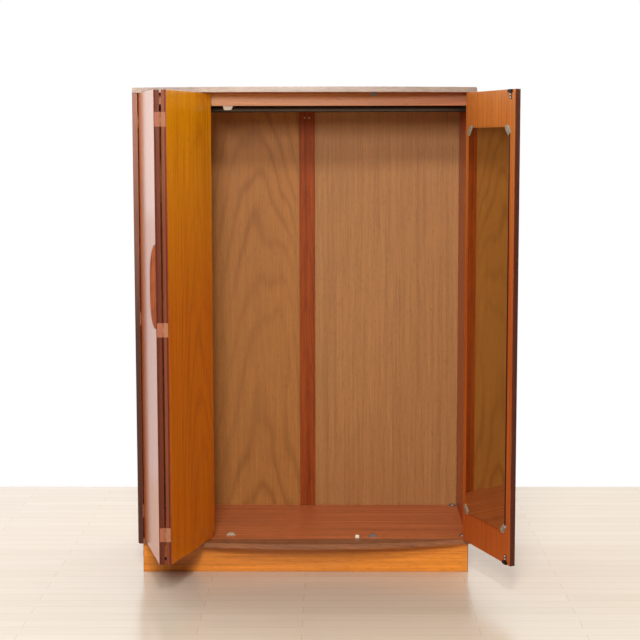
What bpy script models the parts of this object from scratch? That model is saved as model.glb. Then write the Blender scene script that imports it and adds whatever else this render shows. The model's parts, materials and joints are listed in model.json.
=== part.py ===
"""Bow-fronted wardrobe with a folding pair of doors on the left and a mirror door on the right.

Everything is in metres, +Z up, with the front facing -Y. The doors are drawn closed, each in the
frame of the empty that stands on its hinge axis, and the empties then turn them open.
"""

from math import cos, pi, radians, sin, sqrt

import bmesh
import bpy
from mathutils import Matrix, Vector

# Driving sizes
WIDTH = 1.220
HEIGHT = 1.758
CARCASS_DEPTH = 0.555
BOW = 0.082
BOARD = 0.018
PLINTH_HEIGHT = 0.110
DOOR_THICKNESS = 0.019
LEFT_DOOR_WIDTH = 0.370
RIGHT_DOOR_WIDTH = 0.391
LEFT_OPEN = radians(75.2)
MIDDLE_OPEN = radians(73.4)
RIGHT_OPEN = radians(109.5)
LEFT_LIMIT = radians(77.2)

# Clearances
GAP = 0.0003
HINGE_GAP = 0.003
MEETING_GAP = 0.002
DOOR_END_GAP = 0.0015

# Smaller sizes
PLINTH_SIDE_INSET = 0.015
PLINTH_FRONT_INSET = 0.020
BACK_BOARD = 0.006
BACK_RECESS = 0.006
BATTEN_WIDTH = 0.060
BATTEN_THICKNESS = 0.009
LIPPING_END_DEPTH = 0.003
RAIL_HEIGHT = 0.045
RAIL_SETBACK = 0.055
EDGE_ROUND = 0.001
CORNER_ROUND = 0.006
FACE_THICKNESS = 0.005
GROOVE_ROUND = 0.0012

HINGE_HEIGHT = 0.048
HINGE_RADIUS = 0.0025
HINGE_LEAF = 0.001
HINGE_LEAF_WIDTH = 0.0165
HINGE_SPLIT = 0.0002
TOP_HINGE_INSET = 0.0975
BOTTOM_HINGE_INSET = 0.1035

TRACK_WALL = 0.0015
TRACK_DEPTH = 0.009
TRACK_OVERRUN = 0.016
PIN_RADIUS = 0.003
PIN_PLAY = 0.0005
ROLLER_RADIUS = 0.0044
ROLLER_HEIGHT = 0.005
ROLLER_BORE_PLAY = 0.0001

HANGING_RAIL_SETBACK = 0.270
HANGING_RAIL_DROP = 0.0635
HANGING_RAIL_HALF = (0.0075, 0.015)
HANGING_RAIL_WALL = 0.0012
SOCKET_WALL = 0.003
SOCKET_LENGTH = 0.014

MIRROR_SIDE_MARGIN = 0.0365
MIRROR_TOP_MARGIN = 0.1245
MIRROR_BOTTOM_MARGIN = 0.1125
MIRROR_THICKNESS = 0.005
MIRROR_CORNER = 0.020
CLIP_LENGTH = 0.034
CLIP_THICKNESS = 0.002
CLIP_LAP = 0.007
CLIP_FOOT = 0.009

HANDLE_HEIGHT = 0.284
HANDLE_LIFT = 0.149
HANDLE_REACH = 0.019
HANDLE_THICKNESS = 0.016
HANDLE_POWER = 3.0
HANDLE_STEPS = 28

CATCH_BLOCK = (0.027, 0.006, 0.010)
CATCH_TONGUE = (0.012, 0.0015, 0.032)
CATCH_NOSE = (0.012, 0.025, 0.008)
RIGHT_CATCH_INSET = 0.0345
LEFT_CATCH_INSET = 0.056
STRIKE_RADIUS = 0.016
STRIKE_HEIGHT = 0.011
STRIKE_DEPTH = 0.010
STRIKE_OFFSET = 0.014
LEFT_STRIKE_SETBACK = 0.048
KEEPER_TOP = 0.036
KEEPER_BOTTOM = 0.026
KEEPER_HEIGHT = 0.014
KEEPER_DEPTH = 0.014
STUD_SIZE = (0.015, 0.012, 0.012)
STUD_SETBACK = 0.005
STUD_CLEARANCE = 0.0015
NOTCH_HEIGHT = 0.016

ARC_STEPS = 32

# Derived places. The origin is under the middle of the plinth's front board.
FRONT = -PLINTH_FRONT_INSET - BOARD / 2
BACK = FRONT + CARCASS_DEPTH
BACK_FACE = BACK - BACK_RECESS - BACK_BOARD
INSIDE = WIDTH / 2 - BOARD
FLOOR = PLINTH_HEIGHT + BOARD
CEILING = HEIGHT - BOARD
DOOR_BOTTOM = FLOOR + DOOR_END_GAP
DOOR_TOP = CEILING - DOOR_END_GAP
DOOR_GAPS = 3 * HINGE_GAP + MEETING_GAP
MIDDLE_DOOR_WIDTH = 2 * INSIDE - DOOR_GAPS - LEFT_DOOR_WIDTH - RIGHT_DOOR_WIDTH
DOOR_MIDDLE = (DOOR_BOTTOM + DOOR_TOP) / 2
TOP_HINGE = DOOR_TOP - TOP_HINGE_INSET
BOTTOM_HINGE = DOOR_BOTTOM + BOTTOM_HINGE_INSET
HINGE_PLACES = {"top": TOP_HINGE, "middle": (TOP_HINGE + BOTTOM_HINGE) / 2, "bottom": BOTTOM_HINGE}
MIRROR_WIDTH = RIGHT_DOOR_WIDTH - 2 * MIRROR_SIDE_MARGIN
MIRROR_BOTTOM = DOOR_BOTTOM + MIRROR_BOTTOM_MARGIN
MIRROR_HEIGHT = DOOR_TOP - MIRROR_TOP_MARGIN - MIRROR_BOTTOM

# Door coordinates are relative to a hinge axis: x along the closed door, y into the wardrobe
FACE_Y = HINGE_RADIUS
INNER_Y = FACE_Y + DOOR_THICKNESS
HALF_GAP = HINGE_GAP / 2
LEFT_AXIS = Vector((-INSIDE + HALF_GAP, FRONT - FACE_Y, 0))
FOLD_AXIS = Vector((HINGE_GAP + LEFT_DOOR_WIDTH, INNER_Y + HINGE_RADIUS, 0))
RIGHT_AXIS = Vector((INSIDE - HALF_GAP, FRONT - FACE_Y, 0))
LEFT_CATCH_X = LEFT_AXIS.x + HALF_GAP + LEFT_DOOR_WIDTH - LEFT_CATCH_INSET

# The guide pin runs in the middle of the middle door's thickness. Its reach is chosen so that the
# pin is on the same line, closed and open.
PIN_RISE = FACE_Y + DOOR_THICKNESS / 2
PIN_SWING = FOLD_AXIS.x * sin(LEFT_OPEN) + FOLD_AXIS.y * (1 - cos(LEFT_OPEN))
PIN_REACH = (PIN_SWING - PIN_RISE * (1 - cos(MIDDLE_OPEN))) / sin(MIDDLE_OPEN)


def clear_scene():
    for thing in list(bpy.data.objects):
        bpy.data.objects.remove(thing, do_unlink=True)


def new_collection(name, hidden=False):
    collection = bpy.data.collections.new(name)
    collection.hide_render = hidden
    bpy.context.scene.collection.children.link(collection)
    return collection


def new_material(name, color, roughness, metallic=0.0):
    material = bpy.data.materials.new(name)
    material.use_nodes = True
    shader = material.node_tree.nodes["Principled BSDF"]
    shader.inputs["Base Color"].default_value = (*color, 1)
    shader.inputs["Roughness"].default_value = roughness
    shader.inputs["Metallic"].default_value = metallic
    material.diffuse_color = (*color, 1)
    return material


def add_object(name, data, material, collection, parent=None, place=(0, 0, 0), turn=(0, 0, 0)):
    thing = bpy.data.objects.new(name, data)
    thing.location = place
    thing.rotation_euler = turn
    thing.parent = parent
    if not data.materials:
        data.materials.append(material)
    collection.objects.link(thing)
    return thing


def add_pivot(name, place, angle, collection, parent=None):
    pivot = bpy.data.objects.new(name, None)
    pivot.empty_display_size = 0.1
    pivot.location = place
    pivot.rotation_euler = (0, 0, angle)
    pivot.parent = parent
    collection.objects.link(pivot)
    return pivot


def add_bevel(thing, width, segments=2):
    bevel = thing.modifiers.new("Rounded edges", "BEVEL")
    bevel.width = width
    bevel.segments = segments
    bevel.limit_method = "ANGLE"
    bevel.angle_limit = radians(40)
    return bevel


def box_mesh(name, low, high):
    mesh = bpy.data.meshes.new(name)
    shape = bmesh.new()
    size = [high[i] - low[i] for i in range(3)]
    middle = [(high[i] + low[i]) / 2 for i in range(3)]
    place = Matrix.Translation(middle) @ Matrix.Diagonal((*size, 1))
    bmesh.ops.create_cube(shape, size=1, matrix=place)
    shape.to_mesh(mesh)
    shape.free()
    return mesh


def add_box(name, low, high, material, collection, parent=None, rounding=0.0):
    thing = add_object(name, box_mesh(name, low, high), material, collection, parent)
    if rounding:
        add_bevel(thing, rounding)
    return thing


def round_corner(thing, width, is_corner):
    """Gives one set of edges its own bevel by weight, on top of the small rounding elsewhere."""
    shape = bmesh.new()
    shape.from_mesh(thing.data)
    weights = shape.edges.layers.float.new("bevel_weight_edge")
    for edge in shape.edges:
        edge[weights] = float(all(is_corner(vertex.co) for vertex in edge.verts))
    shape.to_mesh(thing.data)
    shape.free()
    bevel = thing.modifiers.new("Rounded corner", "BEVEL")
    bevel.width = width
    bevel.segments = 4
    bevel.limit_method = "WEIGHT"
    return bevel


def outline_curve(name, outlines, thickness):
    """A flat 2D curve, one closed spline for each outline, extruded to both sides of its plane."""
    curve = bpy.data.curves.new(name, "CURVE")
    curve.dimensions = "2D"
    curve.fill_mode = "BOTH"
    curve.extrude = thickness / 2
    for outline in outlines:
        spline = curve.splines.new("POLY")
        spline.points.add(len(outline) - 1)
        for point, place in zip(spline.points, outline):
            point.co = (place[0], place[1], 0, 1)
        spline.use_cyclic_u = True
    return curve


def add_outline(name, outlines, thickness, material, collection, parent=None, place=(0, 0, 0), turn=None):
    curve = outline_curve(name, outlines, thickness)
    return add_object(name, curve, material, collection, parent, place, turn or (0, 0, 0))


def made_mesh(thing):
    """The evaluated shape of an object as a welded mesh. The object it came from is removed."""
    bpy.context.view_layer.update()
    graph = bpy.context.evaluated_depsgraph_get()
    mesh = bpy.data.meshes.new_from_object(thing.evaluated_get(graph))
    shape = bmesh.new()
    shape.from_mesh(mesh)
    bmesh.ops.remove_doubles(shape, verts=shape.verts, dist=GAP / 10)
    bmesh.ops.dissolve_limit(shape, angle_limit=radians(0.1), verts=shape.verts, edges=shape.edges)
    bmesh.ops.recalc_face_normals(shape, faces=shape.faces)
    shape.to_mesh(mesh)
    shape.free()
    bpy.data.objects.remove(thing, do_unlink=True)
    return mesh


def cut(thing, cutter, before_rounding=True):
    boolean = thing.modifiers.new("Cut", "BOOLEAN")
    boolean.operation = "DIFFERENCE"
    boolean.object = cutter
    if before_rounding:
        thing.modifiers.move(len(thing.modifiers) - 1, 0)


def join(thing, other):
    boolean = thing.modifiers.new("Join", "BOOLEAN")
    boolean.operation = "UNION"
    boolean.object = other


def oval(half_width, half_height, steps=24):
    angles = [2 * pi * i / steps for i in range(steps)]
    return [(half_width * cos(angle), half_height * sin(angle)) for angle in angles]


def bow_outline(half_width, depth=0.0):
    """Straight behind, an arc of a circle in front that bulges by BOW over its ends."""
    rise = BOW - LIPPING_END_DEPTH
    radius = (half_width**2 + rise**2) / (2 * rise)
    front = []
    for i in range(ARC_STEPS + 1):
        x = half_width * (1 - 2 * i / ARC_STEPS)
        front.append((x, -LIPPING_END_DEPTH - sqrt(radius**2 - x**2) + radius - rise))
    return [(-half_width, depth), (half_width, depth), *front]


def build_carcass(parts, looks):
    veneer = looks["carcass"]
    for side, name in ((-1, "side_left"), (1, "side_right")):
        low = (min(side * INSIDE, side * WIDTH / 2), FRONT, PLINTH_HEIGHT)
        high = (max(side * INSIDE, side * WIDTH / 2), BACK, CEILING - GAP)
        panel = add_box(name, low, high, veneer, parts)
        outer_x = side * INSIDE + side * GAP
        round_corner(panel, CORNER_ROUND, lambda p, x=outer_x: p.x / x > 1 and p.z < PLINTH_HEIGHT + GAP)
    middle_top = (HEIGHT + CEILING) / 2
    outline = [bow_outline(WIDTH / 2, CARCASS_DEPTH)]
    board = add_outline("board", outline, BOARD, veneer, parts, place=(0, FRONT, middle_top))
    top = add_object("top_panel", made_mesh(board), veneer, parts, place=(0, FRONT, middle_top))
    round_corner(top, CORNER_ROUND, lambda p: abs(p.x) > INSIDE and p.z > 0)
    inner = INSIDE - GAP
    low = (-inner, FRONT + GAP, PLINTH_HEIGHT)
    add_box("bottom_panel", low, (inner, BACK_FACE - GAP, FLOOR), veneer, parts)
    outline = [bow_outline(inner)]
    middle = (FLOOR + PLINTH_HEIGHT) / 2
    lipping = add_outline("bottom_lipping", outline, BOARD, looks["lipping"], parts, place=(0, FRONT, middle))
    weld = lipping.modifiers.new("Closed caps", "WELD")
    weld.merge_threshold = GAP / 10
    add_bevel(lipping, EDGE_ROUND)
    rail_front = FRONT + RAIL_SETBACK
    low = (-inner, rail_front, CEILING - RAIL_HEIGHT)
    high = (inner, rail_front + BOARD, CEILING - GAP)
    add_box("front_rail", low, high, looks["rail"], parts, rounding=EDGE_ROUND)
    return top


def build_back(parts, looks):
    inner = INSIDE - GAP
    top = CEILING - GAP
    rear = BACK_FACE + BACK_BOARD
    low = (-inner, BACK_FACE, PLINTH_HEIGHT)
    add_box("back_panel_left", low, (-GAP, rear, top), looks["back_left"], parts)
    low = (GAP, BACK_FACE, PLINTH_HEIGHT)
    add_box("back_panel_right", low, (inner, rear, top), looks["back_right"], parts)
    half = BATTEN_WIDTH / 2
    low = (-half, BACK_FACE - GAP - BATTEN_THICKNESS, FLOOR + GAP)
    add_box("back_batten", low, (half, BACK_FACE - GAP, top), looks["batten"], parts, rounding=EDGE_ROUND)


def build_plinth(parts, looks):
    half = WIDTH / 2 - PLINTH_SIDE_INSET
    front = FRONT + PLINTH_FRONT_INSET
    back = BACK - PLINTH_FRONT_INSET
    top = PLINTH_HEIGHT - GAP
    wood = looks["plinth"]
    for name, y in (("plinth_front", front), ("plinth_back", back - BOARD)):
        add_box(name, (-half, y, 0), (half, y + BOARD, top), wood, parts, rounding=EDGE_ROUND)
    for side, name in ((-1, "plinth_left"), (1, "plinth_right")):
        low_x = min(side * half, side * (half - BOARD))
        low = (low_x, front + BOARD + GAP, 0)
        add_box(name, low, (low_x + BOARD, back - BOARD - GAP, top), wood, parts, rounding=EDGE_ROUND)


def build_hanging_rail(parts, looks):
    across, up = HANGING_RAIL_HALF
    place_y = FRONT + HANGING_RAIL_SETBACK
    place_z = CEILING - HANGING_RAIL_DROP + up
    turn = (pi / 2, 0, pi / 2)
    wall = HANGING_RAIL_WALL
    tube = [oval(across, up), oval(across - wall, up - wall)]
    length = 2 * (INSIDE - 2 * GAP)
    add_outline("hanging_rail", tube, length, looks["rod"], parts, place=(0, place_y, place_z), turn=turn)
    collar = [oval(across + GAP + SOCKET_WALL, up + GAP + SOCKET_WALL), oval(across + GAP, up + GAP)]
    for side, name in ((-1, "rail_socket_left"), (1, "rail_socket_right")):
        place = (side * (INSIDE - GAP - SOCKET_LENGTH / 2), place_y, place_z)
        add_outline(name, collar, SOCKET_LENGTH, looks["socket"], parts, place=place, turn=turn)


def pin_place(share):
    """Where the guide pin stands when the doors are open by this share of their rest angles."""
    left = Matrix.Rotation(-share * LEFT_OPEN, 3, "Z")
    middle = Matrix.Rotation(share * MIDDLE_OPEN, 3, "Z")
    place = LEFT_AXIS + left @ FOLD_AXIS + middle @ Vector((PIN_REACH, -PIN_RISE, 0))
    return place.x, place.y


def build_track(top_panel, parts, cutters, looks):
    """A channel let into the underside of the top, wide enough for the pin's slight sideways travel."""
    places = [pin_place(LEFT_LIMIT / LEFT_OPEN * i / ARC_STEPS) for i in range(ARC_STEPS + 1)]
    slack = ROLLER_RADIUS + PIN_PLAY
    low_x = min(x for x, y in places) - slack - TRACK_OVERRUN
    high_x = max(x for x, y in places) + slack
    low_y = min(y for x, y in places) - slack
    high_y = max(y for x, y in places) + slack
    low = (low_x - TRACK_WALL, low_y - TRACK_WALL, CEILING + GAP)
    high = (high_x + TRACK_WALL, high_y + TRACK_WALL, CEILING + TRACK_DEPTH)
    track = add_box("guide_track", low, high, looks["metal"], parts)
    hollow = add_box(
        "track_hollow",
        (low_x, low_y, CEILING - BOARD),
        (high_x, high_y, CEILING + TRACK_DEPTH - TRACK_WALL),
        looks["metal"],
        cutters,
    )
    cut(track, hollow)
    groove = add_box(
        "track_groove",
        [low[0] - GAP, low[1] - GAP, CEILING - BOARD],
        [high[0] + GAP, high[1] + GAP, CEILING + TRACK_DEPTH + GAP],
        looks["metal"],
        cutters,
    )
    cut(top_panel, groove)


def build_strikes(parts, looks):
    steps = 14
    angles = [pi * i / steps for i in range(steps + 1)]
    dome = [(STRIKE_RADIUS * cos(angle), STRIKE_HEIGHT * sin(angle)) for angle in angles]
    right_x = RIGHT_AXIS.x - HALF_GAP - RIGHT_DOOR_WIDTH + RIGHT_CATCH_INSET + STRIKE_OFFSET
    behind_door = FRONT + DOOR_THICKNESS + CATCH_BLOCK[1] + MEETING_GAP + STRIKE_DEPTH / 2
    upright = (pi / 2, 0, 0)
    hanging = (-pi / 2, 0, 0)
    brown = looks["strike"]
    place = (right_x, behind_door, FLOOR + GAP)
    add_outline("strike_right_floor", [dome], STRIKE_DEPTH, brown, parts, place=place, turn=upright)
    place = (right_x, behind_door, CEILING - GAP)
    add_outline("strike_right_top", [dome], STRIKE_DEPTH, brown, parts, place=place, turn=hanging)
    left_y = FRONT + LEFT_STRIKE_SETBACK + STRIKE_DEPTH / 2
    place = (LEFT_CATCH_X, left_y, FLOOR + GAP)
    add_outline("strike_left_floor", [dome], STRIKE_DEPTH, looks["nylon"], parts, place=place, turn=upright)
    keeper = [
        (-KEEPER_TOP / 2, 0),
        (-KEEPER_BOTTOM / 2, -KEEPER_HEIGHT),
        (KEEPER_BOTTOM / 2, -KEEPER_HEIGHT),
        (KEEPER_TOP / 2, 0),
    ]
    place = (LEFT_CATCH_X, FRONT + RAIL_SETBACK + KEEPER_DEPTH / 2, CEILING - RAIL_HEIGHT - GAP)
    add_outline("strike_left_top", [keeper], KEEPER_DEPTH, looks["nylon"], parts, place=place, turn=upright)
    right_edge = RIGHT_AXIS.x - HALF_GAP - RIGHT_DOOR_WIDTH - STUD_CLEARANCE
    low = (right_edge - STUD_SIZE[0], FRONT + STUD_SETBACK, FLOOR + GAP)
    high = (right_edge, low[1] + STUD_SIZE[1], FLOOR + STUD_SIZE[2])
    add_box("centre_stop", low, high, looks["stud"], parts, rounding=2 * EDGE_ROUND)


def hinge_leaf_mesh(name, side, knuckles, parts, looks):
    """A leaf in closed position: plate on the given side of the axis, joined to its knuckles."""
    reach = HINGE_RADIUS + GAP
    outer = side * (HINGE_SPLIT + HINGE_LEAF)
    inner = side * HINGE_SPLIT
    half = HINGE_HEIGHT / 2
    low = (min(outer, inner), reach, -half)
    high = (max(outer, inner), reach + HINGE_LEAF_WIDTH, half)
    leaf = add_object(name, box_mesh(name, low, high), looks["hinge"], parts)
    helpers = []
    for bottom, top in knuckles:
        shape = bmesh.new()
        place = Matrix.Translation((0, 0, (bottom + top) / 2))
        bmesh.ops.create_cone(
            shape,
            cap_ends=True,
            segments=16,
            radius1=HINGE_RADIUS,
            radius2=HINGE_RADIUS,
            depth=top - bottom,
            matrix=place,
        )
        barrel = bpy.data.meshes.new("barrel")
        shape.to_mesh(barrel)
        shape.free()
        helpers.append(add_object("barrel", barrel, looks["hinge"], parts))
        bridge = box_mesh("bridge", (low[0], 0, bottom), (high[0], reach + HINGE_LEAF, top))
        helpers.append(add_object("bridge", bridge, looks["hinge"], parts))
    for helper in helpers:
        join(leaf, helper)
    mesh = made_mesh(leaf)
    for helper in helpers:
        bpy.data.objects.remove(helper, do_unlink=True)
    return mesh


def build_hinges(parts, looks, left_pivot, fold_pivot, right_pivot):
    third = HINGE_HEIGHT / 3
    half = HINGE_HEIGHT / 2
    outer_knuckles = ((-half, -half + third - GAP), (half - third + GAP, half))
    inner_knuckles = ((-half + third, half - third),)
    fixed = hinge_leaf_mesh("fixed_leaf", -1, outer_knuckles, parts, looks)
    moving = hinge_leaf_mesh("moving_leaf", 1, inner_knuckles, parts, looks)
    steel = looks["hinge"]
    flip_back = (pi, 0, 0)
    flip_across = (0, pi, 0)
    for where, height in HINGE_PLACES.items():
        up = Vector((0, 0, height))
        frame_side = LEFT_AXIS + up
        add_object(f"hinge_left_{where}_frame_leaf", fixed, steel, parts, place=frame_side)
        add_object(f"hinge_left_{where}_door_leaf", moving, steel, parts, left_pivot, up)
        fold = FOLD_AXIS + up
        add_object(f"hinge_fold_{where}_left_leaf", fixed, steel, parts, left_pivot, fold, flip_back)
        add_object(f"hinge_fold_{where}_middle_leaf", moving, steel, parts, fold_pivot, up, flip_back)
        frame_side = RIGHT_AXIS + up
        add_object(f"hinge_right_{where}_frame_leaf", fixed, steel, parts, None, frame_side, flip_across)
        add_object(f"hinge_right_{where}_door_leaf", moving, steel, parts, right_pivot, up, flip_across)


def build_door(name, near, far, face_y, inner_y, parts, looks, pivot, inner_look):
    """A core board and the thinner board on its face, with a groove round the edge between them."""
    split = face_y + FACE_THICKNESS
    low_x = min(near, far)
    high_x = max(near, far)
    low = (low_x, split + GAP, DOOR_BOTTOM)
    high = (high_x, inner_y, DOOR_TOP)
    core = add_box(f"{name}_core", low, high, looks[inner_look], parts, pivot, GROOVE_ROUND)
    low = (low_x, face_y, DOOR_BOTTOM)
    high = (high_x, split, DOOR_TOP)
    face = add_box(f"{name}_face", low, high, looks["door_face"], parts, pivot, GROOVE_ROUND)
    return core, face


def catch_mesh(name, looks, parts, nose):
    """Block and tongue on the door's inner face; the y axis points away from the door."""
    width, depth, height = CATCH_BLOCK
    block = box_mesh(name, (-width / 2, 0, -height), (width / 2, depth, 0))
    catch = add_object(name, block, looks["catch"], parts)
    half, thin, length = CATCH_TONGUE[0] / 2, CATCH_TONGUE[1], CATCH_TONGUE[2]
    shapes = [box_mesh("tongue", (-half, 0, -length), (half, thin, -height / 2))]
    if nose:
        half, reach, tall = CATCH_NOSE[0] / 2, CATCH_NOSE[1], CATCH_NOSE[2]
        low = (-half, depth / 2, (-height - tall) / 2)
        shapes.append(box_mesh("nose", low, (half, reach, (tall - height) / 2)))
    helpers = [add_object("helper", shape, looks["catch"], parts) for shape in shapes]
    for helper in helpers:
        join(catch, helper)
    mesh = made_mesh(catch)
    for helper in helpers:
        bpy.data.objects.remove(helper, do_unlink=True)
    return mesh


def build_catches(parts, looks, left_pivot, right_pivot):
    plain = catch_mesh("plain_catch", looks, parts, nose=False)
    nosed = catch_mesh("nosed_catch", looks, parts, nose=True)
    inner = INNER_Y + GAP
    right_x = -(HALF_GAP + RIGHT_DOOR_WIDTH - RIGHT_CATCH_INSET)
    turned_over = (0, pi, 0)
    place = (right_x, inner, DOOR_TOP - GAP)
    add_object("catch_right_top", plain, looks["catch"], parts, right_pivot, place)
    place = (right_x, inner, DOOR_BOTTOM + GAP)
    add_object("catch_right_bottom", plain, looks["catch"], parts, right_pivot, place, turned_over)
    left_x = HALF_GAP + LEFT_DOOR_WIDTH - LEFT_CATCH_INSET
    top = CEILING - RAIL_HEIGHT - KEEPER_HEIGHT / 2 + CATCH_BLOCK[2] / 2
    place = (left_x, inner, top)
    add_object("catch_left_top", nosed, looks["catch"], parts, left_pivot, place)
    place = (left_x, inner, DOOR_BOTTOM + GAP)
    add_object("catch_left_bottom", nosed, looks["catch"], parts, left_pivot, place, turned_over)


def build_left_door(parts, looks, pivot):
    near, far = HALF_GAP, HALF_GAP + LEFT_DOOR_WIDTH
    build_door("left_door", near, far, FACE_Y, INNER_Y, parts, looks, pivot, "door_inner")


def build_handle(parts, looks, pivot):
    """A D-shaped fin that stands off the face along the left door's folding edge."""
    half = HANDLE_HEIGHT / 2
    arc = []
    for i in range(HANDLE_STEPS + 1):
        along = -cos(pi * i / HANDLE_STEPS)
        arc.append((-HANDLE_REACH * (1 - abs(along) ** HANDLE_POWER) ** 0.5, half * along))
    edge_x = HALF_GAP + LEFT_DOOR_WIDTH
    place = (edge_x - HANDLE_THICKNESS / 2 - GAP, FACE_Y - GAP, DOOR_MIDDLE + HANDLE_LIFT)
    turn = (pi / 2, 0, pi / 2)
    handle = add_outline("handle", [arc], HANDLE_THICKNESS, looks["handle"], parts, pivot, place, turn)
    weld = handle.modifiers.new("Closed caps", "WELD")
    weld.merge_threshold = GAP / 10
    add_bevel(handle, 2 * EDGE_ROUND)


def build_middle_door(parts, cutters, looks, pivot):
    """The fold axis is on the inner faces, so this door's outer face is at negative y."""
    near, far = HALF_GAP, HALF_GAP + MIDDLE_DOOR_WIDTH
    face_y = FACE_Y - FOLD_AXIS.y
    inner_y = INNER_Y - FOLD_AXIS.y
    core, face = build_door("middle_door", near, far, face_y, inner_y, parts, looks, pivot, "door_inner")
    overlap = STUD_SIZE[0] + 2 * MEETING_GAP
    low = (far - overlap, face_y - BOARD, DOOR_BOTTOM - BOARD)
    high = (far + BOARD, inner_y + BOARD, DOOR_BOTTOM + NOTCH_HEIGHT)
    notch = add_box("corner_notch", low, high, looks["metal"], cutters, pivot)
    cut(core, notch)
    cut(face, notch)
    return core


def build_guide(core, parts, cutters, looks, pivot):
    """The pin let into the middle door's top edge, and the roller that turns on it in the track."""
    head = CEILING + TRACK_DEPTH - TRACK_WALL - PIN_PLAY
    foot = DOOR_TOP - 2 * BOARD
    place = Vector((PIN_REACH, -PIN_RISE, 0))
    roller_foot = CEILING + PIN_PLAY
    roller_head = roller_foot + ROLLER_HEIGHT
    flange = PIN_RADIUS + TRACK_WALL / 2
    neck = PIN_RADIUS - TRACK_WALL / 2
    profile = [(PIN_RADIUS, foot), (PIN_RADIUS, roller_foot - GAP), (neck, roller_foot - GAP)]
    profile += [(neck, roller_head + GAP), (flange, roller_head + GAP), (flange, head)]
    add_turned("guide_pin", profile, looks["metal"], parts, pivot, place)
    bore = neck + ROLLER_BORE_PLAY
    ring = [
        (bore, roller_foot),
        (ROLLER_RADIUS, roller_foot),
        (ROLLER_RADIUS, roller_head),
        (bore, roller_head),
    ]
    add_turned("guide_roller", ring, looks["nylon"], parts, pivot, place, closed=True)
    hole_foot = place + Vector((0, 0, foot - GAP))
    shape = bmesh.new()
    depth = 3 * BOARD
    middle = Matrix.Translation(hole_foot + Vector((0, 0, depth / 2)))
    radius = PIN_RADIUS + GAP
    bmesh.ops.create_cone(
        shape,
        cap_ends=True,
        segments=24,
        radius1=radius,
        radius2=radius,
        depth=depth,
        matrix=middle,
    )
    mesh = bpy.data.meshes.new("pin_hole")
    shape.to_mesh(mesh)
    shape.free()
    hole = add_object("pin_hole", mesh, looks["metal"], cutters, pivot)
    cut(core, hole, before_rounding=False)


def add_turned(name, profile, material, collection, pivot, place, closed=False):
    """A profile of radius and height turned round the z axis."""
    mesh = bpy.data.meshes.new(name)
    shape = bmesh.new()
    points = [shape.verts.new((radius, 0, height)) for radius, height in reversed(profile)]
    if closed:
        points.append(points[0])
    else:
        points.insert(0, shape.verts.new((0, 0, profile[-1][1])))
        points.append(shape.verts.new((0, 0, profile[0][1])))
    for first, second in zip(points, points[1:]):
        shape.edges.new((first, second))
    shape.to_mesh(mesh)
    shape.free()
    thing = add_object(name, mesh, material, collection, pivot, place)
    screw = thing.modifiers.new("Turned", "SCREW")
    screw.axis = "Z"
    screw.steps = 20
    screw.render_steps = 20
    screw.use_merge_vertices = True
    screw.merge_threshold = GAP / 10
    screw.use_smooth_shade = True
    return thing


def build_right_door(parts, looks, pivot):
    near, far = -HALF_GAP, -HALF_GAP - RIGHT_DOOR_WIDTH
    build_door("right_door", near, far, FACE_Y, INNER_Y, parts, looks, pivot, "door_inner")


def build_mirror(parts, looks, pivot):
    """A cut-cornered mirror on the right door's inner face, held by a clip across each corner."""
    half_width = MIRROR_WIDTH / 2
    half_height = MIRROR_HEIGHT / 2
    cut_width = half_width - MIRROR_CORNER
    cut_height = half_height - MIRROR_CORNER
    outline = []
    for sx, sz in ((1, 1), (-1, 1), (-1, -1), (1, -1)):
        corner = [(sx * half_width, sz * cut_height), (sx * cut_width, sz * half_height)]
        outline += corner if sx * sz > 0 else corner[::-1]
    middle_x = -HALF_GAP - RIGHT_DOOR_WIDTH / 2
    middle_z = MIRROR_BOTTOM + half_height
    glass_y = INNER_Y + GAP + MIRROR_THICKNESS / 2
    upright = (pi / 2, 0, 0)
    place = (middle_x, glass_y, middle_z)
    add_outline("mirror", [outline], MIRROR_THICKNESS, looks["mirror"], parts, pivot, place, upright)
    lip_foot = MIRROR_THICKNESS + 2 * GAP
    lip_head = lip_foot + CLIP_THICKNESS
    profile = [
        (GAP, GAP),
        (CLIP_FOOT, GAP),
        (CLIP_FOOT, lip_head),
        (-CLIP_LAP, lip_head),
        (-CLIP_LAP, lip_foot),
        (GAP, lip_foot),
    ]
    diagonal = MIRROR_CORNER / 2
    names = {(1, 1): "right_top", (-1, 1): "left_top", (-1, -1): "left_bottom", (1, -1): "right_bottom"}
    for (sx, sz), corner in names.items():
        outward = Vector((sx, 0, sz)).normalized()
        off_door = Vector((0, 1, 0))
        along = outward.cross(off_door)
        basis = Matrix((outward, off_door, along)).transposed()
        corner_x = middle_x + sx * (half_width - diagonal)
        place = Vector((corner_x, INNER_Y, middle_z + sz * (half_height - diagonal)))
        name = f"mirror_clip_{corner}"
        clip = add_outline(name, [profile], CLIP_LENGTH, looks["clip"], parts, pivot, place)
        clip.rotation_euler = basis.to_euler()


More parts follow.
